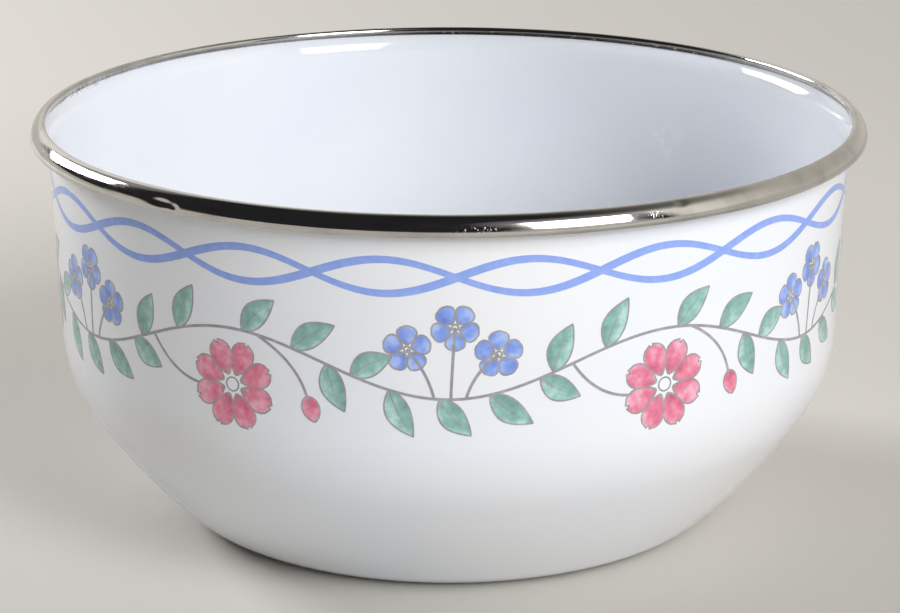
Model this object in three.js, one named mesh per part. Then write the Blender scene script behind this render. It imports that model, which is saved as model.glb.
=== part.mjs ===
// An enamelled steel mixing bowl with a stainless band crimped over its flared lip.
// Both pieces are turned about the Z axis. Millimetres, +Z up, origin at the centre of the flat base.

import * as THREE from 'three';

const DEGREE = Math.PI / 180;

// Driving dimensions of the bowl shell. Leans are angles from the vertical, and radii are of the outside.
const HEIGHT = 103.7; // table to the top of the band
const MOUTH_RADIUS = 100; // inside the wall, where the lip starts to flare
const SHEET = 1.1; // steel with its enamel on both faces
const WALL_DRAFT = 2 * DEGREE; // lean of the upper wall
const SHOULDER_RADIUS = 37;
const SHOULDER_TURN = 31.2 * DEGREE;
const BELLY_RADIUS = 145;
const BELLY_TURN = 13.6 * DEGREE;
const BASE_CORNER_RADIUS = 16;

// Driving dimensions of the lip, along the middle of its sheet.
const LIP_BEND_RADIUS = 6;
const LIP_LEAN = 55 * DEGREE;
const LIP_SEAT = 0.3; // from the end of the bend to the middle of the band
const LIP_REACH = 0.6; // past the middle of the band, inside it

// Driving dimensions of the band, a split tube of oval section that lies square across the lip.
const BAND_SHEET = 0.5;
const BAND_UPPER_ROOM = 0.75; // inside the band, past the crimp over the lip
const BAND_LOWER_ROOM = 2.15; // inside the band, past the crimp under the lip
const BAND_END_ROOM = 0.4; // inside the band, past the end of the lip
const CRIMP_CLEARANCE = 0.3; // between the band's edges and the lip

// Fineness of the round stretches.
const TURN_SEGMENTS = 80;
const BEND_STEPS = 5;
const OVAL_STEPS = 18;
const CRIMP_SEARCH_STEP = DEGREE / 8;

// The direction of travel at a lean, and the direction that the sheet's outside faces there.
const along = (lean) => new THREE.Vector2(Math.sin(lean), Math.cos(lean));
const outward = (lean) => new THREE.Vector2(Math.cos(lean), -Math.sin(lean));

// A path along the middle of a sheet, as points in the half plane of radius and height, each with its lean.
class SheetPath {
  constructor(start, lean) {
    this.stops = [{ point: start, lean }];
  }

  get end() {
    return this.stops.at(-1);
  }

  run(length) {
    const { point, lean } = this.end;
    this.stops.push({ point: point.clone().addScaledVector(along(lean), length), lean });
    return this;
  }

  bend(radius, lean) {
    const { point, lean: startLean } = this.end;
    const side = Math.sign(lean - startLean);
    const centre = point.clone().addScaledVector(outward(startLean), side * radius);
    for (let step = 1; step <= BEND_STEPS; step += 1) {
      const stepLean = THREE.MathUtils.lerp(startLean, lean, step / BEND_STEPS);
      const stepPoint = centre.clone().addScaledVector(outward(stepLean), -side * radius);
      this.stops.push({ point: stepPoint, lean: stepLean });
    }
    return this;
  }

  // One face of the sheet: the middle moved square to itself, outward or, with a minus, inward.
  face(offset) {
    return this.stops.map(({ point, lean }) => point.clone().addScaledVector(outward(lean), offset));
  }
}

// The band's oval: its half width lies square to the lip, and its half depth along the lip.
const crimpGap = SHEET / 2 + CRIMP_CLEARANCE;
const bandHalfWidth = crimpGap + (BAND_UPPER_ROOM + BAND_LOWER_ROOM) / 2 + BAND_SHEET;
const bandHalfDepth = LIP_REACH + BAND_END_ROOM + BAND_SHEET;
const bandRise = Math.hypot(outward(LIP_LEAN).y * bandHalfWidth, along(LIP_LEAN).y * bandHalfDepth);

// The lip's bend and straight end fix how far the band's middle lies from the top of the wall. The lip goes in
// above that middle, as there is less room over it than under it.
const bandDrop = (BAND_LOWER_ROOM - BAND_UPPER_ROOM) / 2;
const lipBend = new SheetPath(new THREE.Vector2(0, 0), WALL_DRAFT).bend(LIP_BEND_RADIUS, LIP_LEAN);
const bandFromWallTop = lipBend.end.point
  .clone()
  .addScaledVector(along(LIP_LEAN), LIP_SEAT)
  .addScaledVector(outward(LIP_LEAN), bandDrop);
const wallTop = new THREE.Vector2(
  MOUTH_RADIUS + (SHEET / 2) * Math.cos(WALL_DRAFT),
  HEIGHT - bandRise - bandFromWallTop.y,
);
const bandMiddle = wallTop.clone().add(bandFromWallTop);

// The shell's middle from the edge of the flat base to the end of the lip, set out from the axis first.
const shoulderLean = WALL_DRAFT + SHOULDER_TURN;
const bellyLean = shoulderLean + BELLY_TURN;
const shellPath = new SheetPath(new THREE.Vector2(0, SHEET / 2), Math.PI / 2)
  .bend(BASE_CORNER_RADIUS - SHEET / 2, bellyLean)
  .bend(BELLY_RADIUS - SHEET / 2, shoulderLean)
  .bend(SHOULDER_RADIUS - SHEET / 2, WALL_DRAFT);
shellPath.run((wallTop.y - shellPath.end.point.y) / Math.cos(WALL_DRAFT));
const baseRadius = wallTop.x - shellPath.end.point.x;
shellPath.stops.forEach(({ point }) => point.setX(point.x + baseRadius));
shellPath.bend(LIP_BEND_RADIUS, LIP_LEAN).run(LIP_SEAT + LIP_REACH);

// A profile in radius and height becomes a solid of revolution that stands on +Z.
function turned(name, profile, material) {
  const geometry = new THREE.LatheGeometry(profile, TURN_SEGMENTS);
  geometry.rotateX(Math.PI / 2);
  const mesh = new THREE.Mesh(geometry, material);
  mesh.name = name;
  return mesh;
}

// The drawn shell: up the outside from the axis, over the end of the lip, and down the inside.
function bowlShell() {
  const profile = [
    new THREE.Vector2(0, 0),
    ...shellPath.face(SHEET / 2),
    ...shellPath.face(-SHEET / 2).reverse(),
    new THREE.Vector2(0, SHEET),
  ];
  const enamel = new THREE.MeshStandardMaterial({ color: 0xeceff4, roughness: 0.12, metalness: 0 });
  return turned('bowl_shell', profile, enamel);
}

// How far a point lies from the middle of the shell's sheet.
function distanceToSheet(point) {
  const target = new THREE.Vector3(point.x, point.y, 0);
  const nearest = new THREE.Vector3();
  const stretch = new THREE.Line3();
  const distances = shellPath.stops.slice(1).map(({ point: to }, index) => {
    const from = shellPath.stops[index].point;
    stretch.start.set(from.x, from.y, 0);
    stretch.end.set(to.x, to.y, 0);
    return stretch.closestPointToPoint(target, true, nearest).distanceTo(target);
  });
  return Math.min(...distances);
}

// A point of an oval about the band's middle, by its angle from the side that faces down.
const ovalPoint = (halfWidth, halfDepth, angle) =>
  bandMiddle
    .clone()
    .addScaledVector(outward(LIP_LEAN), Math.cos(angle) * halfWidth)
    .addScaledVector(along(LIP_LEAN), Math.sin(angle) * halfDepth);

// The angle where an oval of the band meets the lip's clearance, going round from one of its sides.
function crimpAngle(halfWidth, halfDepth, startAngle, turn) {
  const fineStep = turn * CRIMP_SEARCH_STEP;
  let angle = startAngle;
  while (distanceToSheet(ovalPoint(halfWidth, halfDepth, angle + fineStep)) > crimpGap) {
    angle += fineStep;
  }
  return angle;
}

// One face of the band, from its edge inside the mouth, over the top and round to its edge under the lip.
function bandFace(halfWidth, halfDepth) {
  const upperEdge = crimpAngle(halfWidth, halfDepth, Math.PI, 1);
  const lowerEdge = crimpAngle(halfWidth, halfDepth, 0, -1);
  return Array.from({ length: OVAL_STEPS + 1 }, (_, step) =>
    ovalPoint(halfWidth, halfDepth, THREE.MathUtils.lerp(upperEdge, lowerEdge, step / OVAL_STEPS)),
  );
}

// The rolled band: a split tube, open only where the lip goes in.
function rimBand() {
  const outside = bandFace(bandHalfWidth, bandHalfDepth);
  const inside = bandFace(bandHalfWidth - BAND_SHEET, bandHalfDepth - BAND_SHEET);
  const profile = [...inside, ...outside.reverse()];
  profile.push(profile[0].clone());
  const stainless = new THREE.MeshStandardMaterial({ color: 0xb9b7b2, roughness: 0.15, metalness: 1 });
  return turned('rim_band', profile, stainless);
}

const bowl = new THREE.Group();
bowl.add(bowlShell(), rimBand());

export default bowl;
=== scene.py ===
import math
import random

import bmesh
import bpy
import numpy as np
from mathutils import Euler, Matrix


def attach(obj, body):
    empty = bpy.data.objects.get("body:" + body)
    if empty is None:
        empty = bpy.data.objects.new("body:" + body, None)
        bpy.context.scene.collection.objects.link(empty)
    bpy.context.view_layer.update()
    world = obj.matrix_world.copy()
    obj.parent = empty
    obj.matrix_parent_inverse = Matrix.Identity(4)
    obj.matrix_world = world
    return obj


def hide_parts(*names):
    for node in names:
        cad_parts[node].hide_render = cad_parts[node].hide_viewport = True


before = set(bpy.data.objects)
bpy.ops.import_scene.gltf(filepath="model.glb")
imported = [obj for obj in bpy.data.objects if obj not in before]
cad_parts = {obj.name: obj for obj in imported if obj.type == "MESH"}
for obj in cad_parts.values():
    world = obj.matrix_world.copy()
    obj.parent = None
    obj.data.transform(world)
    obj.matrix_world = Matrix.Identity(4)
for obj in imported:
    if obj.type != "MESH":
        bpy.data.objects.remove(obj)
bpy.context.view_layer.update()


# Bowl shell: one sheet of steel, deep drawn to a flat base, a sloping belly, a rounded shoulder and a
# steep wall, with its lip flared out into the band. White vitreous enamel is fused to both faces.
# Radii are of the outside and leans are from the vertical. The band's sizes fix how high the lip lies.
MM = 0.001
HEIGHT = 103.7 * MM
MOUTH_RADIUS = 100 * MM
SHEET = 1.1 * MM
WALL_DRAFT = math.radians(2)
SHOULDER_RADIUS = 37 * MM
SHOULDER_LEAN = math.radians(33.2)
BELLY_RADIUS = 145 * MM
BELLY_LEAN = math.radians(46.8)
BASE_CORNER_RADIUS = 16 * MM
BASE_LEAN = math.radians(90)
LIP_BEND_RADIUS = 6 * MM
LIP_LEAN = math.radians(55)
LIP_SEAT = 0.3 * MM
LIP_REACH = 0.6 * MM
CRIMP_CLEARANCE = 0.3 * MM
CRIMP_GAP = SHEET / 2 + CRIMP_CLEARANCE
BAND_SHEET = 0.5 * MM
BAND_UPPER_ROOM = 0.75 * MM
BAND_LOWER_ROOM = 2.15 * MM
BAND_END_ROOM = 0.4 * MM
BAND_HALF_WIDTH = CRIMP_GAP + (BAND_UPPER_ROOM + BAND_LOWER_ROOM) / 2 + BAND_SHEET
BAND_HALF_DEPTH = LIP_REACH + BAND_END_ROOM + BAND_SHEET
BAND_DROP = (BAND_LOWER_ROOM - BAND_UPPER_ROOM) / 2
BOWL_SEGMENTS = 256
BEND_STEPS = 14
RUN_STEPS = 6
LIP_END_STEPS = 8
BASE_RING_SHARES = (0, 0.4, 0.8, 0.97)
MERGE_DISTANCE = 0.001 * MM


def along(lean):
    """The way up a sheet at a lean, in radius and height."""
    return np.array((math.sin(lean), math.cos(lean)))


def outward(lean):
    """The way that the outside of a sheet faces at a lean, in radius and height."""
    return np.array((math.cos(lean), -math.sin(lean)))


class SheetPath:
    """The middle of a sheet, as points of radius and height, each with the lean of the sheet there."""

    def __init__(self, start, lean):
        self.stops = [(np.array(start, float), lean)]

    def run(self, length):
        start, lean = self.stops[-1]
        for step in range(1, RUN_STEPS + 1):
            self.stops.append((start + along(lean) * length * step / RUN_STEPS, lean))
        return self

    def bend(self, radius, lean):
        start, start_lean = self.stops[-1]
        side = math.copysign(radius, lean - start_lean)
        centre = start + outward(start_lean) * side
        for step in range(1, BEND_STEPS + 1):
            step_lean = start_lean + (lean - start_lean) * step / BEND_STEPS
            self.stops.append((centre - outward(step_lean) * side, step_lean))
        return self

    def face(self, offset):
        return [point + outward(lean) * offset for point, lean in self.stops]


lip_bend, _ = SheetPath((0, 0), WALL_DRAFT).bend(LIP_BEND_RADIUS, LIP_LEAN).stops[-1]
band_from_wall_top = lip_bend + along(LIP_LEAN) * LIP_SEAT + outward(LIP_LEAN) * BAND_DROP
band_rise = math.hypot(outward(LIP_LEAN)[1] * BAND_HALF_WIDTH, along(LIP_LEAN)[1] * BAND_HALF_DEPTH)
wall_top = np.array((
    MOUTH_RADIUS + SHEET / 2 * math.cos(WALL_DRAFT),
    HEIGHT - band_rise - band_from_wall_top[1],
))
shell_path = SheetPath((0, SHEET / 2), BASE_LEAN)
shell_path.bend(BASE_CORNER_RADIUS - SHEET / 2, BELLY_LEAN)
shell_path.bend(BELLY_RADIUS - SHEET / 2, SHOULDER_LEAN)
shell_path.bend(SHOULDER_RADIUS - SHEET / 2, WALL_DRAFT)
shell_path.run((wall_top[1] - shell_path.stops[-1][0][1]) / math.cos(WALL_DRAFT))
base_radius = wall_top[0] - shell_path.stops[-1][0][0]
for stop, _ in shell_path.stops:
    stop[0] += base_radius
shell_path.bend(LIP_BEND_RADIUS, LIP_LEAN).run(LIP_SEAT + LIP_REACH - SHEET / 2)

lip_end, _ = shell_path.stops[-1]
lip_edge = [
    lip_end + (outward(LIP_LEAN) * math.cos(turn) + along(LIP_LEAN) * math.sin(turn)) * SHEET / 2
    for turn in np.linspace(0, math.pi, LIP_END_STEPS + 1)[1:-1]
]
base_rings = [np.array((base_radius * share, 0)) for share in BASE_RING_SHARES]
floor_rings = [np.array((ring[0], SHEET)) for ring in reversed(base_rings)]
bowl_profile = (
    base_rings + shell_path.face(SHEET / 2) + lip_edge + shell_path.face(-SHEET / 2)[::-1] + floor_rings
)


def feed(tree, kind, *inputs, **settings):
    """Adds a node, makes its settings, and feeds its inputs in order from other nodes or plain values."""
    node = tree.nodes.new(kind)
    for name, value in settings.items():
        setattr(node, name, value)
    for socket, source in zip(node.inputs, inputs):
        if isinstance(source, bpy.types.NodeSocket):
            tree.links.new(source, socket)
        elif source is not None:
            socket.default_value = source
    return node


def calc(tree, operation, *inputs):
    return feed(tree, "ShaderNodeMath", *inputs, operation=operation).outputs[0]


def new_tree(name, sizes):
    """A geometry tree with a mesh going in and out, and a named input for each size."""
    tree = bpy.data.node_groups.new(name, "GeometryNodeTree")
    tree.interface.new_socket("Mesh", in_out="INPUT", socket_type="NodeSocketGeometry")
    for size, kind in sizes.items():
        tree.interface.new_socket(size, in_out="INPUT", socket_type=f"NodeSocket{kind}")
    tree.interface.new_socket("Mesh", in_out="OUTPUT", socket_type="NodeSocketGeometry")
    return tree, tree.nodes.new("NodeGroupInput").outputs


def finish_tree(tree, mesh, material):
    """Ends a geometry tree in plain geometry of one material."""
    realised = feed(tree, "GeometryNodeRealizeInstances", mesh).outputs[0]
    painted = feed(tree, "GeometryNodeSetMaterial", realised, None, material).outputs[0]
    feed(tree, "NodeGroupOutput", painted)


def grow(name, mesh, tree, **sizes):
    """Runs a geometry tree on a mesh and links the plain mesh that comes out as a piece."""
    start = bpy.data.objects.new(name, mesh)
    bpy.context.scene.collection.objects.link(start)
    modifier = start.modifiers.new(tree.name, "NODES")
    modifier.node_group = tree
    for socket in tree.interface.items_tree:
        if socket.in_out == "INPUT" and socket.name in sizes:
            modifier[socket.identifier] = sizes[socket.name]
    evaluated = start.evaluated_get(bpy.context.evaluated_depsgraph_get())
    grown = bpy.data.meshes.new_from_object(evaluated)
    start.modifiers.clear()
    start.data = grown
    grown.name = name
    bpy.data.meshes.remove(mesh)
    return start


# The turned tree: a grid whose rows are the profile's points and whose columns go round the axis.
turned, turned_in = new_tree("turned", {"Segments": "Int", "Rows": "Int", "Material": "Material"})
columns = feed(turned, "FunctionNodeIntegerMath", turned_in["Segments"], 1, operation="ADD").outputs[0]
grid = feed(turned, "GeometryNodeMeshGrid", 1.0, 1.0, columns, turned_in["Rows"])
index = feed(turned, "GeometryNodeInputIndex").outputs[0]
row = feed(turned, "FunctionNodeIntegerMath", index, turned_in["Rows"], operation="MODULO").outputs[0]
column = feed(turned, "FunctionNodeIntegerMath", index, turned_in["Rows"], operation="DIVIDE").outputs[0]
turn = calc(turned, "MULTIPLY", calc(turned, "DIVIDE", column, turned_in["Segments"]), math.tau)
place = feed(turned, "GeometryNodeInputPosition").outputs[0]
profile_point = feed(turned, "GeometryNodeSampleIndex", data_type="FLOAT_VECTOR")
turned.links.new(turned_in["Mesh"], profile_point.inputs["Geometry"])
turned.links.new(place, profile_point.inputs["Value"])
turned.links.new(row, profile_point.inputs["Index"])
radius_and_height = feed(turned, "ShaderNodeSeparateXYZ", profile_point.outputs[0]).outputs
round_place = feed(
    turned,
    "ShaderNodeCombineXYZ",
    calc(turned, "MULTIPLY", radius_and_height["X"], calc(turned, "COSINE", turn)),
    calc(turned, "MULTIPLY", radius_and_height["X"], calc(turned, "SINE", turn)),
    radius_and_height["Z"],
).outputs[0]
lathed = feed(turned, "GeometryNodeSetPosition", grid.outputs["Mesh"], None, round_place).outputs[0]
closed = feed(turned, "GeometryNodeMergeByDistance", lathed, None, MERGE_DISTANCE).outputs[0]
smooth = feed(turned, "GeometryNodeSetShadeSmooth", closed).outputs[0]
finish_tree(turned, smooth, turned_in["Material"])


def turn_piece(name, profile, segments, material):
    """A profile of radii and heights, turned about the axis to a closed mesh whose faces point out."""
    line = bpy.data.meshes.new(name + "_profile")
    line.from_pydata([(radius, 0, height) for radius, height in profile], [], [])
    piece = grow(name, line, turned, Segments=segments, Rows=len(profile), Material=material)
    solid = bmesh.new()
    solid.from_mesh(piece.data)
    bmesh.ops.recalc_face_normals(solid, faces=solid.faces)
    solid.to_mesh(piece.data)
    solid.free()
    return piece


def srgb(red, green, blue):
    """A colour as it is seen, in the linear values that a shader takes."""
    seen = np.array((red, green, blue)) / 255
    linear = np.where(seen <= 0.04045, seen / 12.92, ((seen + 0.055) / 1.055) ** 2.4)
    return (*linear.tolist(), 1.0)


def new_finish(name):
    material = bpy.data.materials.new(name)
    material.use_nodes = True
    return material, material.node_tree, material.node_tree.nodes["Principled BSDF"].inputs


def object_place(tree):
    return feed(tree, "ShaderNodeTexCoord").outputs["Object"]


def cloud(tree, place, scale, detail):
    return feed(tree, "ShaderNodeTexNoise", place, None, scale, detail).outputs[0]


def span(tree, value, low, high, to_low=0.0, to_high=1.0):
    return feed(tree, "ShaderNodeMapRange", value, low, high, to_low, to_high).outputs[0]


def patches(tree, place, grain, to_low=0.0, to_high=1.0):
    """A cloud of noise by its grain: its scale and detail, and the two levels that turn into low and high."""
    scale, detail, low, high = grain
    return span(tree, cloud(tree, place, scale, detail), low, high, to_low, to_high)


def amount_of(tree, mark):
    """How much of a mark, such as rust, the points of the mesh have."""
    return feed(tree, "ShaderNodeAttribute", attribute_name=mark).outputs["Fac"]


def relief(tree, strength_and_depth, height, under=None):
    """A bump of a strength and a depth, over another bump under it."""
    return feed(tree, "ShaderNodeBump", *strength_and_depth, None, height, under).outputs[0]


def tint(tree, factor, first, second):
    """The first colour turning into the second as the factor goes from 0 to 1."""
    mix = tree.nodes.new("ShaderNodeMix")
    mix.data_type = "RGBA"
    for socket, source in zip((mix.inputs[0], mix.inputs[6], mix.inputs[7]), (factor, first, second)):
        if isinstance(source, bpy.types.NodeSocket):
            tree.links.new(source, socket)
        else:
            socket.default_value = source
    return mix.outputs[2]


def specks(tree, place, scale, size, share):
    """1 inside small round specks, which lie in a share of the cells of that scale."""
    cells = feed(tree, "ShaderNodeTexVoronoi", place, None, scale)
    chance = feed(tree, "ShaderNodeSeparateXYZ", cells.outputs["Color"]).outputs["X"]
    chosen = calc(tree, "LESS_THAN", chance, share)
    return calc(tree, "MULTIPLY", span(tree, cells.outputs["Distance"], size, size / 2), chosen)


# The enamel: a cooler and a warmer white outside and another two inside, a touch darker as painted shade of
# the inside, a few specks, a patch of painted light on the shaded wall inside at the back on the right, and
# rust that creeps out from under the band.
ENAMEL_COOL = srgb(232, 236, 244)
ENAMEL_WARM = srgb(237, 238, 241)
# Painted shade: the inside's two whites are a touch darker than the outside's, for the light inside the bowl.
INSIDE_SHADED_COOL = srgb(231, 235, 242)
INSIDE_SHADED_WARM = srgb(236, 238, 241)
ENAMEL_SPECK = srgb(150, 148, 146)
# Painted light: a near white, laid in patches on the shaded wall inside at the back on the right.
ENAMEL_PAINTED_LIGHT = srgb(250, 250, 250)
RUST = srgb(92, 58, 36)
POOL_GRAIN = (18, 2, 0.35, 0.65)
SPECK_SCALE = 110
SPECK_SIZE = 0.028
SPECK_SHARE = 0.035
# Where the painted light lies, how far it reaches, and the patches that it is laid in.
PAINTED_LIGHT_PLACE = (60.4 * MM, 77.8 * MM, 75.0 * MM)
PAINTED_LIGHT_REACH = 8 * MM
PAINTED_LIGHT_GRAIN = (260, 4, 0.45, 0.65)
ENAMEL_RUST_GRAIN = (800, 1, 0.55, 0.62)
GLAZE_GRAIN = (60, 4, 0.3, 0.7)
GLAZE_ROUGHNESS = (0.03, 0.07)
RIPPLE_SCALE = 70
RIPPLE_DETAIL = 1
RIPPLE_RELIEF = (0.08, 0.4 * MM)
enamel, tree, shader = new_finish("white_enamel")
place = object_place(tree)
pools = patches(tree, place, POOL_GRAIN)
outside_coat = tint(tree, pools, ENAMEL_COOL, ENAMEL_WARM)
# The inside's coat carries the painted shade of the inside.
inside_shaded_coat = tint(tree, pools, INSIDE_SHADED_COOL, INSIDE_SHADED_WARM)
coat = tint(tree, amount_of(tree, "inside"), outside_coat, inside_shaded_coat)
flecked = tint(tree, specks(tree, place, SPECK_SCALE, SPECK_SIZE, SPECK_SHARE), coat, ENAMEL_SPECK)
# A patch of painted light on the shaded wall inside, at the back on the right.
from_painted_light = feed(tree, "ShaderNodeVectorMath", place, PAINTED_LIGHT_PLACE, operation="DISTANCE").outputs["Value"]
near_painted_light = span(tree, from_painted_light, PAINTED_LIGHT_REACH, 0)
painted_light = calc(tree, "MULTIPLY", near_painted_light, patches(tree, place, PAINTED_LIGHT_GRAIN))
painted_lit = tint(tree, painted_light, flecked, ENAMEL_PAINTED_LIGHT)
rusty = calc(tree, "MULTIPLY", amount_of(tree, "rust"), patches(tree, place, ENAMEL_RUST_GRAIN))
tree.links.new(tint(tree, rusty, painted_lit, RUST), shader["Base Color"])
tree.links.new(patches(tree, place, GLAZE_GRAIN, *GLAZE_ROUGHNESS), shader["Roughness"])
ripple = relief(tree, RIPPLE_RELIEF, cloud(tree, place, RIPPLE_SCALE, RIPPLE_DETAIL))
tree.links.new(ripple, shader["Normal"])

bowl = turn_piece("enamel_bowl", bowl_profile, BOWL_SEGMENTS, enamel)


def around(mesh):
    """A turned mesh's points, their bearings in degrees from the front, and their places in the section."""
    places = np.array([vertex.co for vertex in mesh.vertices])
    section_places = np.stack((np.hypot(places[:, 0], places[:, 1]), places[:, 2]), axis=1)
    return places, np.degrees(np.arctan2(places[:, 0], -places[:, 1])), section_places


def mark_points(mesh, mark, amount):
    """Gives each point of a mesh its amount of a mark, for the mesh's material."""
    mesh.attributes.new(mark, "FLOAT", "POINT").data.foreach_set("value", amount)


# A point lies on the inside where its face turns up more than it turns out.
bowl_points, _, bowl_section = around(bowl.data)
bowl_normals = np.array([vertex.normal for vertex in bowl.data.vertices])
facing_out = np.sum(bowl_normals[:, :2] * bowl_points[:, :2], axis=1) / np.maximum(bowl_section[:, 0], MM)
mark_points(bowl.data, "inside", (facing_out < bowl_normals[:, 2]).astype(float))
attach(bowl, "root")
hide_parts("bowl_shell")


# Rim band: a strip of polished stainless steel, rolled to a split tube of oval section that lies square
# across the lip, and crimped over it. It has knocks from use, a slight bulge, scuffs, rust starting at its
# inner edge, and a painted dark reflection along that edge, faint all round and strongest at the back.
BAND_SEGMENTS = 900
OUTSIDE_STEPS = 48
INSIDE_STEPS = 14
EDGE_STEPS = 4
CRIMP_SEARCH_STEP = math.radians(0.125)
band_middle = wall_top + band_from_wall_top


def oval(half_width, half_depth, angle):
    """A point of the section, by its angle from the side that faces down and out."""
    across = outward(LIP_LEAN) * math.cos(angle) * half_width
    return band_middle + across + along(LIP_LEAN) * math.sin(angle) * half_depth


def gap_to_lip(point):
    """How far a point of the section lies from the middle of the shell's sheet."""
    starts = np.array([stop for stop, _ in shell_path.stops[:-1]])
    ends = np.array([stop for stop, _ in shell_path.stops[1:]])
    stretch = ends - starts
    share = np.sum((point - starts) * stretch, axis=1) / np.sum(stretch**2, axis=1)
    nearest = starts + stretch * np.clip(share, 0, 1)[:, None]
    return np.linalg.norm(point - nearest, axis=1).min()


def crimp_angle(half_width, half_depth, angle, step):
    """The angle where an oval meets the lip's clearance, going on by a step from one of its sides."""
    while gap_to_lip(oval(half_width, half_depth, angle + step)) > CRIMP_GAP:
        angle += step
    return angle


def band_face(half_width, half_depth, steps):
    """One face of the band, from its edge inside the mouth, over the top, to its edge under the lip."""
    upper = crimp_angle(half_width, half_depth, math.pi, CRIMP_SEARCH_STEP)
    lower = crimp_angle(half_width, half_depth, 0, -CRIMP_SEARCH_STEP)
    return [oval(half_width, half_depth, angle) for angle in np.linspace(upper, lower, steps + 1)]


def rounded_edge(start, end, ahead):
    """The points between two corners of a sheet's edge, bulging ahead of it in a half circle."""
    middle = (start + end) / 2
    half = (start - end) / 2
    bulge = np.array((-half[1], half[0]))
    bulge *= math.copysign(1, np.dot(bulge, ahead))
    turns = np.linspace(0, math.pi, EDGE_STEPS + 1)[1:-1]
    return [middle + half * math.cos(turn) + bulge * math.sin(turn) for turn in turns]


band_outside = band_face(BAND_HALF_WIDTH, BAND_HALF_DEPTH, OUTSIDE_STEPS)
band_inside = band_face(BAND_HALF_WIDTH - BAND_SHEET, BAND_HALF_DEPTH - BAND_SHEET, INSIDE_STEPS)[::-1]
band_profile = [
    *band_outside,
    *rounded_edge(band_outside[-1], band_inside[0], band_outside[-1] - band_outside[-2]),
    *band_inside,
    *rounded_edge(band_inside[-1], band_outside[0], band_outside[0] - band_outside[1]),
    band_outside[0],
]

# The steel: bright or dulled by smudges, finely scratched along the band, rusty where its points are marked
# so, and painted dark where they are marked for the painted reflection, with faint dimples from rolling.
STEEL_BRIGHT = srgb(208, 205, 200)
STEEL_DULL = srgb(186, 183, 177)
# Painted reflection: a dark tone along the band's inner edge, for the dark room that the band mirrors there.
STEEL_PAINTED_DARK = srgb(68, 65, 61)
SMUDGE_SCALE = 90
SMUDGE_DETAIL = 3
SMUDGE_DULLS = (0.45, 0.75)
SMUDGE_ROUGHENS = (0.4, 0.8)
SMUDGE_ROUGHNESS = (0.05, 0.16)
SCRATCH_STRETCH = (40, 40, 900)
SCRATCH_SCALE = 6
SCRATCH_DETAIL = 4
SCRATCH_ROUGHENS = (0.5, 0.8)
SCRATCH_ROUGHNESS = (0.0, 0.08)
SCRATCH_RELIEF = (0.12, 0.02 * MM)
# The patches that the painted dark reflection is laid in.
PAINTED_DARK_GRAIN = (700, 3, 0.2, 0.4)
STEEL_RUST_GRAIN = (900, 3, 0.46, 0.56)
RUST_ROUGHNESS = 0.5
DIMPLE_SCALE = 260
DIMPLE_DETAIL = 2
DIMPLE_RELIEF = (0.05, 0.2 * MM)
SCUFF_GRAIN = (1900, 2, 0.55, 0.65)
SCUFF_RELIEF = (0.4, 0.04 * MM)
steel, tree, shader = new_finish("stainless_steel")
place = object_place(tree)
stretched = feed(tree, "ShaderNodeMapping", place, None, None, SCRATCH_STRETCH).outputs[0]
scratch = cloud(tree, stretched, SCRATCH_SCALE, SCRATCH_DETAIL)
smudge = cloud(tree, place, SMUDGE_SCALE, SMUDGE_DETAIL)
wear_and_painted_dark = tint(tree, span(tree, smudge, *SMUDGE_DULLS), STEEL_BRIGHT, STEEL_DULL)
# The painted dark reflection along the band's inner edge, over the smudged steel.
painted_dark_reflection = calc(tree, "MULTIPLY", amount_of(tree, "dark_reflection_paint"), patches(tree, place, PAINTED_DARK_GRAIN))
wear_and_painted_dark = tint(tree, painted_dark_reflection, wear_and_painted_dark, STEEL_PAINTED_DARK)
rusty = calc(tree, "MULTIPLY", amount_of(tree, "rust"), patches(tree, place, STEEL_RUST_GRAIN))
tree.links.new(tint(tree, rusty, wear_and_painted_dark, RUST), shader["Base Color"])
# All of it is metal, apart from where the link says that it has rusted.
shader["Metallic"].default_value = 1.0
tree.links.new(calc(tree, "SUBTRACT", 1.0, rusty), shader["Metallic"])
smudged = span(tree, smudge, *SMUDGE_ROUGHENS, *SMUDGE_ROUGHNESS)
scratched = span(tree, scratch, *SCRATCH_ROUGHENS, *SCRATCH_ROUGHNESS)
polish = calc(tree, "ADD", smudged, scratched)
rust_rough = calc(tree, "MULTIPLY", rusty, RUST_ROUGHNESS)
tree.links.new(calc(tree, "ADD", polish, rust_rough), shader["Roughness"])
scuffs = calc(tree, "MULTIPLY", amount_of(tree, "scuff"), patches(tree, place, SCUFF_GRAIN))
scored = relief(tree, SCRATCH_RELIEF, scratch)
dimpled = relief(tree, DIMPLE_RELIEF, cloud(tree, place, DIMPLE_SCALE, DIMPLE_DETAIL), scored)
scuffed = relief(tree, SCUFF_RELIEF, scuffs, dimpled)
tree.links.new(scuffed, shader["Normal"])

band = turn_piece("steel_band", band_profile, BAND_SEGMENTS, steel)

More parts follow.
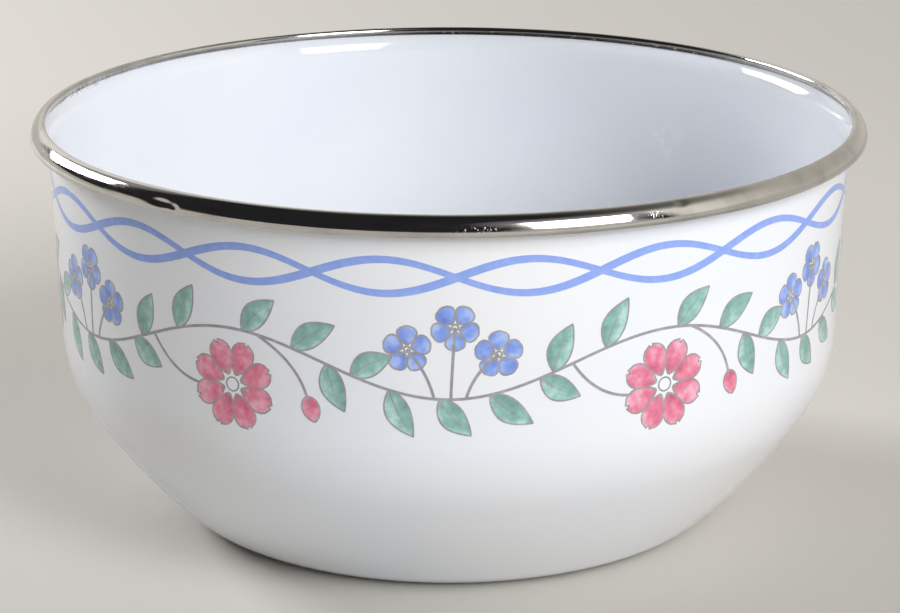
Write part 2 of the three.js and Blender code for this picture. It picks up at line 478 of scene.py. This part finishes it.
# Each knock and scuff: degrees round from the front, degrees over the section from its lower side, depth
# or strength, and spread round the band and over it. A minus depth is a bulge.
KNOCKS = [
    (-36.2, 52, 0.30 * MM, 0.9 * MM, 0.75 * MM),
    (-38.6, 66, 0.5 * MM, 3.6 * MM, 1.0 * MM),
    (30.2, 112, 0.16 * MM, 1.2 * MM, 0.8 * MM),
    (-129.5, 200, 0.20 * MM, 1.1 * MM, 0.9 * MM),
    (118.0, 70, 0.12 * MM, 4.0 * MM, 1.5 * MM),
    (22.0, 100, -0.13 * MM, 28.0 * MM, 1.4 * MM),
]
SCUFFS = [
    (3.1, 62, 1.0, 6 * MM, 0.8 * MM),
    (-12.0, 95, 0.4, 8 * MM, 1.2 * MM),
    (26.6, 85, 1.0, 2.4 * MM, 1.4 * MM),
    (-4.2, 75, 1.0, 0.9 * MM, 0.5 * MM),
    (-10.0, 72, 0.9, 1.2 * MM, 0.5 * MM),
    (-95.0, 90, 0.6, 9 * MM, 1.2 * MM),
    (160.0, 80, 0.7, 12 * MM, 1.0 * MM),
]
RUST_HEAD = -105.0
RUST_SPREAD = 12.0
RUST_ALL_ROUND = 0.1
RUST_ON_BAND = 0.8 * MM
RUST_ON_ENAMEL = 0.45 * MM
# Where the painted dark reflection lies along the inner edge: strongest round a heading at the back, faint
# all round.
PAINTED_DARK_HEAD = 159.0
PAINTED_DARK_SPREAD = 33.0
PAINTED_DARK_ALL_ROUND = 0.2
PAINTED_DARK_WIDTH = 1.2 * MM

points, bearing, section = around(band.data)
radii = section[:, 0]


def round_from(heading, bearings):
    """How far each bearing lies from a heading, in degrees either way."""
    return (bearings - heading + 180) % 360 - 180


def fade_from(heading, section_angle, spread_round, spread_over):
    """How near each point lies to a place on the band, from 1 there to 0, and which way is out there."""
    spot = oval(BAND_HALF_WIDTH, BAND_HALF_DEPTH, math.radians(section_angle))
    arc = np.radians(round_from(heading, bearing)) * radii
    over = np.linalg.norm(section - spot, axis=1)
    away = (spot - band_middle) / np.linalg.norm(spot - band_middle)
    return np.exp(-((arc / spread_round) ** 2) - (over / spread_over) ** 2), away


moved = section.copy()
for heading, section_angle, depth, spread_round, spread_over in KNOCKS:
    fade, away = fade_from(heading, section_angle, spread_round, spread_over)
    moved -= fade[:, None] * depth * away
scaled = moved[:, 0] / radii
points = np.stack((points[:, 0] * scaled, points[:, 1] * scaled, moved[:, 1]), axis=1)
band.data.vertices.foreach_set("co", points.ravel())
band.data.update()

scuff_amount = np.zeros(len(points))
for heading, section_angle, strength, spread_round, spread_over in SCUFFS:
    fade, _ = fade_from(heading, section_angle, spread_round, spread_over)
    scuff_amount = np.maximum(scuff_amount, strength * fade)


def rust_on(mesh, width):
    """How rusty each point of a mesh is: the rust starts at the band's inner edge and creeps out from it."""
    _, bearings, places = around(mesh)
    from_edge = np.linalg.norm(places - band_outside[0], axis=1)
    rust_round = RUST_ALL_ROUND + np.exp(-((round_from(RUST_HEAD, bearings) / RUST_SPREAD) ** 2))
    return np.exp(-((from_edge / width) ** 2)) * rust_round


# How much painted dark reflection each point has, near the inner edge.
from_edge = np.linalg.norm(section - band_outside[0], axis=1)
painted_dark_round = PAINTED_DARK_ALL_ROUND + np.exp(-((round_from(PAINTED_DARK_HEAD, bearing) / PAINTED_DARK_SPREAD) ** 4))
painted_dark_amount = np.exp(-((from_edge / PAINTED_DARK_WIDTH) ** 4)) * np.minimum(painted_dark_round, 1)
mark_points(band.data, "scuff", scuff_amount)
mark_points(band.data, "dark_reflection_paint", painted_dark_amount)
mark_points(band.data, "rust", rust_on(band.data, RUST_ON_BAND))
mark_points(bowl.data, "rust", rust_on(bowl.data, RUST_ON_ENAMEL))
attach(band, "root")
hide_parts("rim_band")


# Border: a traditional twist of two strands in blue ink, printed under the rim and fired into the
# enamel. The strands cross 19 times round the bowl. What is drawn has its sizes in plain millimetres.
INK_PROUD = 0.03 * MM
INK_BEDDED = 0.02 * MM
INK_STEP = 0.0002 * MM
BORDER_CROSSINGS = 19
BORDER_HEIGHT = 88.6
BORDER_SWING = 4.0
BORDER_STROKE = 1.75
BORDER_SWELL = 0.14
BORDER_STEPS = 36
BORDER_FIRST_CROSSING = math.radians(1.05)
WALL_RADIUS = wall_top[0] + SHEET / 2 * math.cos(WALL_DRAFT)
WALL_TOP = wall_top[1] - SHEET / 2 * math.sin(WALL_DRAFT)
WALL_GIRTH = math.tau * WALL_RADIUS / MM


class InkSheet:
    """Patches of one ink, drawn flat in millimetres: along the wall, and up it from the table."""

    def __init__(self, name, seed):
        self.name = name
        self.points, self.faces, self.washes = [], [], []
        self.tones = random.Random(seed)
        self.patches = 0

    def patch(self, drawn):
        """A thin closed slab of ink over a grid of points. Its washes run across it and along it."""
        rows, columns, _ = drawn.shape
        proud = INK_PROUD + INK_STEP * self.patches
        tone = self.tones.random()
        first = len(self.points)
        for depth in (-proud, INK_BEDDED):
            for row in range(rows):
                for column in range(columns):
                    x, z = drawn[row, column] * MM
                    self.points.append((x, depth, z))
                    self.washes.append((2 * column / (columns - 1) - 1, row / (rows - 1), tone))
        under = rows * columns
        for row in range(rows - 1):
            for column in range(columns - 1):
                corner = first + row * columns + column
                cell = (corner, corner + 1, corner + columns + 1, corner + columns)
                self.faces.append(cell)
                self.faces.append(tuple(point + under for point in reversed(cell)))
        rim = list(range(columns))
        rim += [row * columns + columns - 1 for row in range(1, rows)]
        rim += [(rows - 1) * columns + column for column in range(columns - 2, -1, -1)]
        rim += [row * columns for row in range(rows - 2, 0, -1)]
        for start, end in zip(rim, rim[1:] + rim[:1]):
            self.faces.append((first + end, first + start, first + start + under, first + end + under))
        self.patches += 1

    def stroke(self, path, width):
        """A pen stroke along a path, as wide as the pen or with a width for each of its points."""
        path = np.asarray(path, float)
        ahead = np.gradient(path, axis=0)
        ahead /= np.linalg.norm(ahead, axis=1)[:, None]
        right = np.stack((ahead[:, 1], -ahead[:, 0]), axis=1)
        half = np.broadcast_to(np.asarray(width, float) / 2, len(path))[:, None]
        self.patch(np.stack((path - right * half, path, path + right * half), axis=1))

    def mesh(self):
        """The sheet as a mesh whose faces point out."""
        mesh = bpy.data.meshes.new(self.name)
        mesh.from_pydata(self.points, [], self.faces)
        washes = mesh.attributes.new("wash", "FLOAT_VECTOR", "POINT")
        washes.data.foreach_set("vector", np.array(self.washes).ravel())
        solid = bmesh.new()
        solid.from_mesh(mesh)
        bmesh.ops.recalc_face_normals(solid, faces=solid.faces)
        solid.to_mesh(mesh)
        solid.free()
        return mesh


# The print tree: one drawn repeat, copied along the wall's girth and wrapped onto its cone.
printed, printed_in = new_tree("printed", {
    "Repeats": "Int",
    "Start": "Float",
    "Wall Radius": "Float",
    "Wall Top": "Float",
    "Draft": "Float",
    "Material": "Material",
})
girth = calc(printed, "MULTIPLY", printed_in["Wall Radius"], math.tau)
spacing = calc(printed, "DIVIDE", girth, printed_in["Repeats"])
pitch = feed(printed, "ShaderNodeCombineXYZ", spacing).outputs[0]
stations = feed(printed, "GeometryNodeMeshLine", printed_in["Repeats"], None, None, pitch).outputs[0]
copies = feed(printed, "GeometryNodeInstanceOnPoints", stations, None, printed_in["Mesh"]).outputs[0]
flat = feed(printed, "GeometryNodeRealizeInstances", copies).outputs[0]
flat_place = feed(printed, "GeometryNodeInputPosition").outputs[0]
flat_x, flat_y, flat_z = feed(printed, "ShaderNodeSeparateXYZ", flat_place).outputs
turn_along = calc(printed, "DIVIDE", flat_x, printed_in["Wall Radius"])
round_angle = calc(printed, "ADD", turn_along, printed_in["Start"])
to_right = calc(printed, "SINE", round_angle)
to_back = calc(printed, "MULTIPLY", calc(printed, "COSINE", round_angle), -1.0)
fall = calc(printed, "SUBTRACT", printed_in["Wall Top"], flat_z)
drawn_in = calc(printed, "MULTIPLY", fall, calc(printed, "TANGENT", printed_in["Draft"]))
cone_radius = calc(printed, "SUBTRACT", printed_in["Wall Radius"], drawn_in)
ink_radius = calc(printed, "SUBTRACT", cone_radius, flat_y)
wrapped_place = feed(
    printed,
    "ShaderNodeCombineXYZ",
    calc(printed, "MULTIPLY", ink_radius, to_right),
    calc(printed, "MULTIPLY", ink_radius, to_back),
    flat_z,
).outputs[0]
wrapped = feed(printed, "GeometryNodeSetPosition", flat, None, wrapped_place).outputs[0]
finish_tree(printed, wrapped, printed_in["Material"])


def fire(sheet, repeats, start, ink):
    """Prints a drawn sheet of ink round the wall, and fixes it to the bowl."""
    sizes = {"Wall Radius": WALL_RADIUS, "Wall Top": WALL_TOP, "Draft": WALL_DRAFT}
    piece = grow(sheet.name, sheet.mesh(), printed, Repeats=repeats, Start=start, Material=ink, **sizes)
    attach(piece, "root")


INK_MOTTLE_GRAIN = (420, 4, 0.3, 0.7)
INK_GLAZE_GRAIN = (200, 3, 0.3, 0.7)
INK_ROUGHNESS = (0.1, 0.18)
INK_STRENGTH = 0.4
INK_TONES = 0.2


def new_ink(name, deep, middle, pale, across, lengthwise, mottle):
    """A glassy ink laid on as a wash: deeper or paler across and along each patch, and mottled."""
    ink, tree, shader = new_finish(name)
    wash = feed(tree, "ShaderNodeAttribute", attribute_name="wash").outputs["Vector"]
    side, reach, tone = feed(tree, "ShaderNodeSeparateXYZ", wash).outputs
    place = object_place(tree)
    strength = patches(tree, place, INK_MOTTLE_GRAIN, -mottle, mottle)
    strength = calc(tree, "MULTIPLY_ADD", side, across, strength)
    strength = calc(tree, "MULTIPLY_ADD", reach, lengthwise, strength)
    strength = calc(tree, "MULTIPLY_ADD", tone, INK_TONES, strength)
    strength = calc(tree, "ADD", strength, INK_STRENGTH - lengthwise / 2)
    lower = tint(tree, span(tree, strength, 0.0, 0.5), deep, middle)
    tree.links.new(tint(tree, span(tree, strength, 0.5, 1.0), lower, pale), shader["Base Color"])
    tree.links.new(patches(tree, place, INK_GLAZE_GRAIN, *INK_ROUGHNESS), shader["Roughness"])
    return ink


BORDER_DEEP = srgb(128, 152, 224)
BORDER_MIDDLE = srgb(144, 169, 236)
BORDER_PALE = srgb(168, 192, 246)
border_tones = (BORDER_DEEP, BORDER_MIDDLE, BORDER_PALE)
border_ink = new_ink("border_blue", *border_tones, across=0.05, lengthwise=0.0, mottle=0.14)
border = InkSheet("border_print", seed=11)
border_unit = WALL_GIRTH / BORDER_CROSSINGS
border_x = np.linspace(-border_unit / 2, border_unit / 2, BORDER_STEPS + 1)
border_phase = np.linspace(-math.pi / 2, math.pi / 2, BORDER_STEPS + 1)
for climb in (1, -1):
    swing = climb * BORDER_SWING * np.sin(border_phase)
    width = BORDER_STROKE * (1 + BORDER_SWELL * climb * np.cos(border_phase))
    border.stroke(np.stack((border_x, BORDER_HEIGHT + swing), axis=1), width)
fire(border, BORDER_CROSSINGS, BORDER_FIRST_CROSSING, border_ink)


# Vine: a running garland of our own, printed under the border in pink, blue and green washes with grey
# lines, and fired with it. A stem swings round the wall, with open blossoms below its crests, clusters
# of small blossoms above its troughs, and slim leaves along it.
VINE_REPEATS = 6
VINE_PERIOD = WALL_GIRTH / VINE_REPEATS
VINE_HEIGHT = 66.0
VINE_SWING = 6.5
VINE_STEPS = 72
VINE_START = 0.0
STALK_STEPS = 16
STEM_WIDTH = 0.7
LINE_WIDTH = 0.42
BLADE_ACROSS = 6
BLADE_ALONG = 10
BLADE_END = 0.004
NOTCH_SHARPNESS = 6
PETAL_FULLNESS = 1.5
PETAL_BLUNTNESS = 0.5
PETAL_VEIN = 0.45
EYE_LINE_SHARE = 0.7
EYE_STEPS = 24

pink_sheet = InkSheet("blossom_print", seed=3)
blue_sheet = InkSheet("cluster_print", seed=5)
leaf_sheet = InkSheet("leaf_print", seed=7)
line_sheet = InkSheet("line_print", seed=9)


def blade(root, heading, length, half_width, fullness, bluntness, notch=0.0, bow=0.0):
    """The grid of a petal or leaf, from its root along its heading in degrees."""
    across_steps = np.linspace(-1, 1, BLADE_ACROSS + 1)
    reach_steps = np.linspace(BLADE_END, 1 - BLADE_END, BLADE_ALONG + 1)
    across, reach = np.meshgrid(across_steps, reach_steps)
    swell = np.sin(np.pi * reach**fullness) ** bluntness
    ahead = length * (reach - notch * reach**NOTCH_SHARPNESS * (1 - across**2))
    right = half_width * swell * across + bow * length * np.sin(np.pi * reach)
    turn = math.radians(heading)
    x = root[0] + ahead * math.cos(turn) + right * math.sin(turn)
    z = root[1] + ahead * math.sin(turn) - right * math.cos(turn)
    return np.stack((x, z), axis=2)


def outline(grid):
    """The path round a petal or leaf, from its root and back to it."""
    return np.concatenate((grid[:, 0], grid[-1, 1:-1], grid[::-1, -1]))


def bezier(start, control, end):
    """The path of a stalk that leaves its start towards a control point and bends to its end."""
    share = np.linspace(0, 1, STALK_STEPS + 1)[:, None]
    start, control, end = (np.array(point, float) for point in (start, control, end))
    return start * (1 - share) ** 2 + 2 * control * share * (1 - share) + end * share**2


def vine_point(x):
    """A point of the stem, by its place along the wall from the middle of a trough."""
    return np.array((x, VINE_HEIGHT - VINE_SWING * math.cos(math.tau * x / VINE_PERIOD)))


def draw_blade(sheet, grid, vein):
    """Inks a petal or leaf, with its outline and a vein along a share of it."""
    sheet.patch(grid)
    line_sheet.stroke(outline(grid), LINE_WIDTH)
    middle = grid[: int(len(grid) * vein), BLADE_ACROSS // 2]
    line_sheet.stroke(middle, np.linspace(LINE_WIDTH, LINE_WIDTH / 3, len(middle)))


def draw_blossom(sheet, centre, petals, eye, length, half_width, first, notch):
    """Inks a ring of petals round an eye. The first petal's heading is in degrees."""
    for petal in range(petals):
        heading = first + 360 * petal / petals
        turn = math.radians(heading)
        root = (centre[0] + eye * math.cos(turn), centre[1] + eye * math.sin(turn))
        petal_grid = blade(root, heading, length, half_width, PETAL_FULLNESS, PETAL_BLUNTNESS, notch)
        draw_blade(sheet, petal_grid, PETAL_VEIN)
    ring = np.linspace(0, math.tau, EYE_STEPS + 1)
    eye_line = eye * EYE_LINE_SHARE * np.stack((np.cos(ring), np.sin(ring)), axis=1)
    line_sheet.stroke(centre + eye_line, LINE_WIDTH)


stem_x = np.linspace(-VINE_PERIOD / 2, VINE_PERIOD / 2, VINE_STEPS + 1)
line_sheet.stroke(np.array([vine_point(x) for x in stem_x]), STEM_WIDTH)

# The open blossom hangs below the crest on a stalk, and a bud hangs beyond it.
CREST = VINE_PERIOD / 2
blossom_stalk = bezier(vine_point(CREST - 24), (CREST - 18, 58), (CREST - 9, 57.5))
line_sheet.stroke(blossom_stalk, STEM_WIDTH)
blossom_centre = (CREST, 58.8)
draw_blossom(
    pink_sheet, blossom_centre, petals=8, eye=2.4, length=8.8, half_width=3.0, first=22.5, notch=0.10
)
bud_root = (-CREST + 19.5, 58.5)
bud_stalk = bezier(vine_point(-CREST + 7), (-CREST + 17, 67), bud_root)
line_sheet.stroke(bud_stalk, STEM_WIDTH)
bud = blade(bud_root, heading=-72, length=6.4, half_width=2.2, fullness=0.9, bluntness=0.6)
draw_blade(pink_sheet, bud, vein=0.6)

# The cluster of small blossoms stands above the trough: each one's centre and its first petal's heading.
CLUSTER = [((-9.5, 71.5), 90), ((1.5, 76.8), 54), ((11.5, 70.2), 90)]
CLUSTER_STALK_ROOT = 0.35
CLUSTER_STALK_BEND = 0.5
CLUSTER_STALK_HEIGHT = 66
for centre, first in CLUSTER:
    stalk_root = vine_point(centre[0] * CLUSTER_STALK_ROOT)
    stalk_bend = (centre[0] * CLUSTER_STALK_BEND, CLUSTER_STALK_HEIGHT)
    line_sheet.stroke(bezier(stalk_root, stalk_bend, centre), STEM_WIDTH)
    draw_blossom(
        blue_sheet, centre, petals=5, eye=1.0, length=4.6, half_width=2.3, first=first, notch=0.0
    )

# Leaves, by place along the vine as a share of a repeat, by side, and by length.
LEAVES = [
    (-0.47, 1, 12.0), (-0.35, 1, 12.5), (-0.215, 1, 11.0), (-0.27, -1, 12.0), (-0.13, -1, 12.5),
    (-0.02, -1, 11.5), (0.09, -1, 12.5), (0.20, -1, 11.0), (0.23, 1, 12.0), (0.35, 1, 12.5),
]
LEAF_SPLAY = 48
LEAF_BOW = -0.05
LEAF_VEIN = 0.85
STEM_GLANCE = 0.5
for share, side, length in LEAVES:
    root = vine_point(share * VINE_PERIOD)
    ahead = vine_point(share * VINE_PERIOD + STEM_GLANCE) - root
    heading = math.degrees(math.atan2(ahead[1], ahead[0])) + side * LEAF_SPLAY
    leaf = blade(root, heading, length, half_width=2.9, fullness=0.85, bluntness=0.9, bow=LEAF_BOW * side)
    draw_blade(leaf_sheet, leaf, LEAF_VEIN)

PINK_DEEP = srgb(206, 92, 124)
PINK_MIDDLE = srgb(228, 130, 156)
PINK_PALE = srgb(242, 188, 208)
BLUE_DEEP = srgb(104, 130, 216)
BLUE_MIDDLE = srgb(134, 162, 234)
BLUE_PALE = srgb(186, 206, 248)
LEAF_DEEP = srgb(118, 158, 151)
LEAF_MIDDLE = srgb(142, 188, 179)
LEAF_PALE = srgb(192, 226, 219)
LINE_DEEP = srgb(140, 138, 142)
LINE_MIDDLE = srgb(158, 156, 160)
LINE_PALE = srgb(182, 181, 186)
leaf_tones = (LEAF_DEEP, LEAF_MIDDLE, LEAF_PALE)
leaf_ink = new_ink("leaf_green", *leaf_tones, across=0.28, lengthwise=0.1, mottle=0.3)
fire(leaf_sheet, VINE_REPEATS, VINE_START, leaf_ink)
blue_tones = (BLUE_DEEP, BLUE_MIDDLE, BLUE_PALE)
blue_ink = new_ink("cluster_blue", *blue_tones, across=0.2, lengthwise=0.25, mottle=0.3)
fire(blue_sheet, VINE_REPEATS, VINE_START, blue_ink)
pink_tones = (PINK_DEEP, PINK_MIDDLE, PINK_PALE)
pink_ink = new_ink("blossom_pink", *pink_tones, across=0.15, lengthwise=0.4, mottle=0.3)
fire(pink_sheet, VINE_REPEATS, VINE_START, pink_ink)
line_tones = (LINE_DEEP, LINE_MIDDLE, LINE_PALE)
line_ink = new_ink("line_grey", *line_tones, across=0.0, lengthwise=0.0, mottle=0.3)
fire(line_sheet, VINE_REPEATS, VINE_START, line_ink)


# Studio: a beige paper floor, painted darker towards the front as painted shade, that goes over into a pale
# backdrop, a soft box in front on the right, another behind on the left, a weak fill in front that gloss
# doesn't mirror, and a dim room that has a pale sweep behind and on the right.
# Painted shade: the paper's colour near the front is darker than further back.
PAPER_SHADED_NEAR = srgb(205, 202, 194)
PAPER_FAR = srgb(222, 218, 210)
PAPER_FLECK = srgb(199, 195, 187)
BACKDROP = srgb(206, 203, 196)
FLOOR_REACH = 8.0
BACKDROP_START = 0.5
BACKDROP_FULL = 1.4
PAPER_SHADE_GRADE = (-0.1, 0.3)
FLECK_GRAIN = (900, 3, 0.4, 1.0)
FLECK_STRENGTH = 0.4
PAPER_ROUGHNESS = 0.9
PAPER_SHINE = 0.2
floor_mesh = bpy.data.meshes.new("paper_floor")
corners = [(-1, -1), (1, -1), (1, 1), (-1, 1)]
floor_mesh.from_pydata([(x * FLOOR_REACH, y * FLOOR_REACH, 0) for x, y in corners], [], [(0, 1, 2, 3)])
paper, tree, shader = new_finish("beige_paper")
place = object_place(tree)
depth = feed(tree, "ShaderNodeSeparateXYZ", place).outputs["Y"]
# Painted shade: the paper darkens towards the front.
shade_graded = tint(tree, span(tree, depth, *PAPER_SHADE_GRADE), PAPER_SHADED_NEAR, PAPER_FAR)
flecks = patches(tree, place, FLECK_GRAIN, 0.0, FLECK_STRENGTH)
tree.links.new(tint(tree, flecks, shade_graded, PAPER_FLECK), shader["Base Color"])
shader["Roughness"].default_value = PAPER_ROUGHNESS
shader["Specular IOR Level"].default_value = PAPER_SHINE
glow = feed(tree, "ShaderNodeEmission", BACKDROP, 1.0).outputs[0]
from_bowl = feed(tree, "ShaderNodeVectorMath", place, operation="LENGTH").outputs["Value"]
ray = feed(tree, "ShaderNodeLightPath").outputs
seen = calc(tree, "ADD", ray["Is Camera Ray"], ray["Is Glossy Ray"])
seen = calc(tree, "MINIMUM", calc(tree, "ADD", seen, ray["Is Transmission Ray"]), 1.0)
far = calc(tree, "MULTIPLY", span(tree, from_bowl, BACKDROP_START, BACKDROP_FULL), seen)
paper_face = tree.nodes["Principled BSDF"].outputs[0]
floor_face = feed(tree, "ShaderNodeMixShader", far, paper_face, glow).outputs[0]
tree.links.new(floor_face, tree.nodes["Material Output"].inputs["Surface"])
floor_mesh.materials.append(paper)
floor = bpy.data.objects.new("paper_floor", floor_mesh)
bpy.context.scene.collection.objects.link(floor)


def heading_vector(azimuth):
    """A level direction, by its degrees round from the front towards the right."""
    turn = math.radians(azimuth)
    return np.array((math.sin(turn), -math.cos(turn), 0))


def sky_vector(azimuth, rise):
    """A direction by its azimuth and its degrees above level."""
    up = math.radians(rise)
    return heading_vector(azimuth) * math.cos(up) + np.array((0, 0, math.sin(up)))


SOFT_BOX_DISTANCE = 1.6
DAYLIGHT = (0.965, 0.976, 1.0)


def soft_box(name, azimuth, rise, roll, size, power):
    """A soft box that faces the bowl, by its degrees round, up and about, its size and its watts."""
    light = bpy.data.lights.new(name, "AREA")
    light.shape = "RECTANGLE"
    light.size, light.size_y = size
    light.energy = power
    light.color = DAYLIGHT
    box = bpy.data.objects.new(name, light)
    box.location = sky_vector(azimuth, rise) * SOFT_BOX_DISTANCE + np.array((0, 0, HEIGHT / 2))
    facing = Euler((math.radians(90 - rise), 0, math.radians(azimuth))).to_matrix()
    box.rotation_euler = (facing @ Matrix.Rotation(math.radians(roll), 3, "Z")).to_euler()
    bpy.context.scene.collection.objects.link(box)
    return box


soft_box("front_soft_box", azimuth=36, rise=30, roll=-6, size=(0.69, 0.88), power=17.2)
soft_box("back_soft_box", azimuth=-125, rise=24, roll=42, size=(0.78, 0.45), power=21.0)
fill = soft_box("front_fill", azimuth=20, rise=24, roll=0, size=(1.2, 0.4), power=4.4)
fill.visible_glossy = False

# The room: dark, with a glow round each soft box and under the front one, the sweep, and a low horizon in the
# backdrop's colour that rises higher at the back, apart from a gap in shade.
ROOM_DARK = (0.022, 0.022, 0.025, 1.0)
ROOM_GLOW = (0.34, 0.34, 0.35, 1.0)
LOW_GLOW = (0.7, 0.7, 0.7, 1.0)
SWEEP_LIT = (1.0, 0.97, 0.92, 1.0)
SWEEP_FAR = srgb(198, 194, 187)
SWEEP_HIGH = srgb(160, 157, 151)
SWEEP_AZIMUTH = 137.5
SWEEP_EDGE = (0.21, 0.29)
SWEEP_TOP = (0.97, 0.68)
SWEEP_FADES = (0.42, 0.9)
SWEEP_DIMS = (0.6, 0.84)
HORIZON_TOP = (0.22, 0.12)
HORIZON_SIDES = (-0.45, 0.05)
LOW_HORIZON_TOP = (0.1, 0.07)
SHADE_AZIMUTH = -118
SHADE_EDGE = (0.97, 0.94)
room = bpy.data.worlds.new("dim_room")
room.use_nodes = True
tree = room.node_tree
direction = feed(tree, "ShaderNodeTexCoord").outputs["Generated"]
toward = feed(tree, "ShaderNodeSeparateXYZ", direction).outputs
level = feed(tree, "ShaderNodeVectorMath", direction, (1, 1, 0), operation="MULTIPLY").outputs[0]
level = feed(tree, "ShaderNodeVectorMath", level, operation="NORMALIZE").outputs[0]


def nearness(azimuth):
    """How near a direction in the room lies to an azimuth, as the cosine of the angle between."""
    heading = heading_vector(azimuth)
    return feed(tree, "ShaderNodeVectorMath", level, heading, operation="DOT_PRODUCT").outputs["Value"]


def glow_round(azimuth, rise, inner, outer):
    """How strongly the room glows round a soft box: fully within the inner angle, and not past the outer."""
    middle = sky_vector(azimuth, rise)
    cosine = feed(tree, "ShaderNodeVectorMath", direction, middle, operation="DOT_PRODUCT").outputs["Value"]
    return span(tree, cosine, math.cos(math.radians(outer)), math.cos(math.radians(inner)))


lit = tint(tree, glow_round(azimuth=44, rise=42, inner=12, outer=28), ROOM_DARK, ROOM_GLOW)
lit = tint(tree, glow_round(azimuth=36, rise=6, inner=8, outer=22), lit, LOW_GLOW)
lit = tint(tree, glow_round(azimuth=-139, rise=32, inner=12, outer=23), lit, ROOM_GLOW)
near_sweep = nearness(SWEEP_AZIMUTH)
sweep = calc(tree, "MULTIPLY", span(tree, near_sweep, *SWEEP_EDGE), span(tree, toward["Z"], *SWEEP_TOP))
sweep_tone = tint(tree, span(tree, near_sweep, *SWEEP_FADES), SWEEP_LIT, SWEEP_FAR)
sweep_tone = tint(tree, span(tree, toward["Z"], *SWEEP_DIMS), sweep_tone, SWEEP_HIGH)
swept = tint(tree, sweep, lit, sweep_tone)
horizon = span(tree, toward["Z"], *HORIZON_TOP)
horizon = calc(tree, "MULTIPLY", horizon, span(tree, toward["Y"], *HORIZON_SIDES))
horizon = calc(tree, "MULTIPLY", horizon, span(tree, nearness(SHADE_AZIMUTH), *SHADE_EDGE))
horizon = calc(tree, "MAXIMUM", horizon, span(tree, toward["Z"], *LOW_HORIZON_TOP))
tree.links.new(tint(tree, horizon, swept, BACKDROP), tree.nodes["Background"].inputs["Color"])
bpy.context.scene.world = room
bpy.context.scene.view_settings.view_transform = "Standard"


# Camera: the photograph's view, from in front and a little above the rim.
CAMERA_PLACE = (0.00032, -0.74095, 0.27724)
CAMERA_PITCH = math.radians(16.97)
CAMERA_LENS = 119.48
SENSOR_WIDTH = 36.0
lens = bpy.data.cameras.new("camera")
lens.lens = CAMERA_LENS
lens.sensor_width = SENSOR_WIDTH
camera = bpy.data.objects.new("camera", lens)
camera.location = CAMERA_PLACE
camera.rotation_euler = (math.pi / 2 - CAMERA_PITCH, 0, 0)
bpy.context.scene.collection.objects.link(camera)
bpy.context.scene.camera = camera
